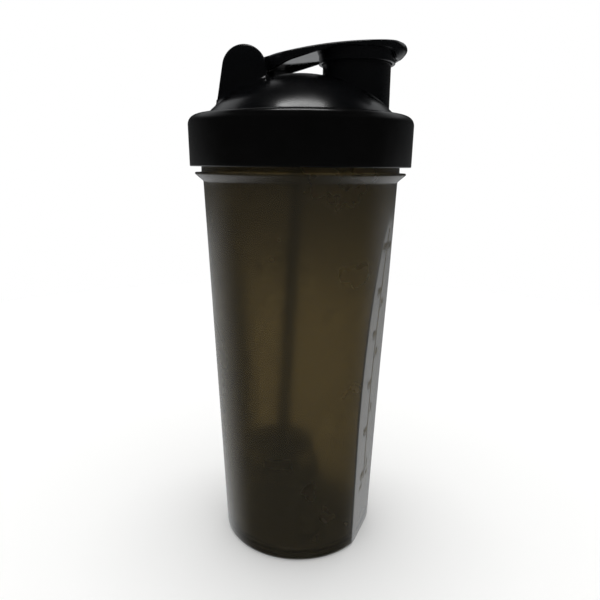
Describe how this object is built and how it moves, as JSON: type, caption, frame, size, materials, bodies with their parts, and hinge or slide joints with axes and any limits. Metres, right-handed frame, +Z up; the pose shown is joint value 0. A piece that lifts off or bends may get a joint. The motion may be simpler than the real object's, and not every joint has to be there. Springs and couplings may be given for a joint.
{
  "type": "protein shaker bottle",
  "caption": "Tall tapered shaker bottle with a frosted smoke cup, screw lid, flip cap over the spout, finger tab and a mixer that hangs inside.",
  "frame": {"origin": "centre of the base, at the height of the ring that the cup stands on", "axes": "+Z up along the cup's axis; +X towards the drinking spout; the hinge of the flip cap is on -X"},
  "size_m": [0.0988, 0.0988, 0.2303],
  "materials": {
    "cup_smoke": "translucent smoke-black polypropylene, fine frosted outside",
    "lid_black": "black polypropylene, satin, finely grained collar",
    "seal_rubber": "soft dark silicone",
    "mixer_black": "black moulded polypropylene, smooth"
  },
  "bodies": {
    "cup": {"cup": "cup_smoke"},
    "gasket": {"lid_gasket": "seal_rubber"},
    "mixer": {"mixing_rod": "mixer_black", "mixing_head": "mixer_black"},
    "lid": {"lid": "lid_black"},
    "cap": {"flip_cap": "lid_black", "spout_seal": "seal_rubber"}
  },
  "joints": [
    {"name": "lid_lift", "type": "slide", "parent": "cup", "child": "gasket", "axis": [0, 0, 1], "range_m": [0, 0.2]},
    {"name": "lid_rise", "type": "slide", "parent": "gasket", "child": "mixer", "axis": [0, 0, 1], "range_m": [0, 0.0067]},
    {"name": "lid_turn", "type": "hinge", "parent": "mixer", "child": "lid", "pos_m": [0, 0, 0.2], "axis": [0, 0, 1], "range_deg": [0, 340]},
    {"name": "cap_flip", "type": "hinge", "parent": "lid", "child": "cap", "pos_m": [-0.0236, 0, 0.21825], "axis": [0, -1, 0], "range_deg": [0, 180]}
  ],
  "couplings": [
    {"joint": "lid_rise", "follows": "lid_turn", "m_per_rad": 0.0011141}
  ]
}
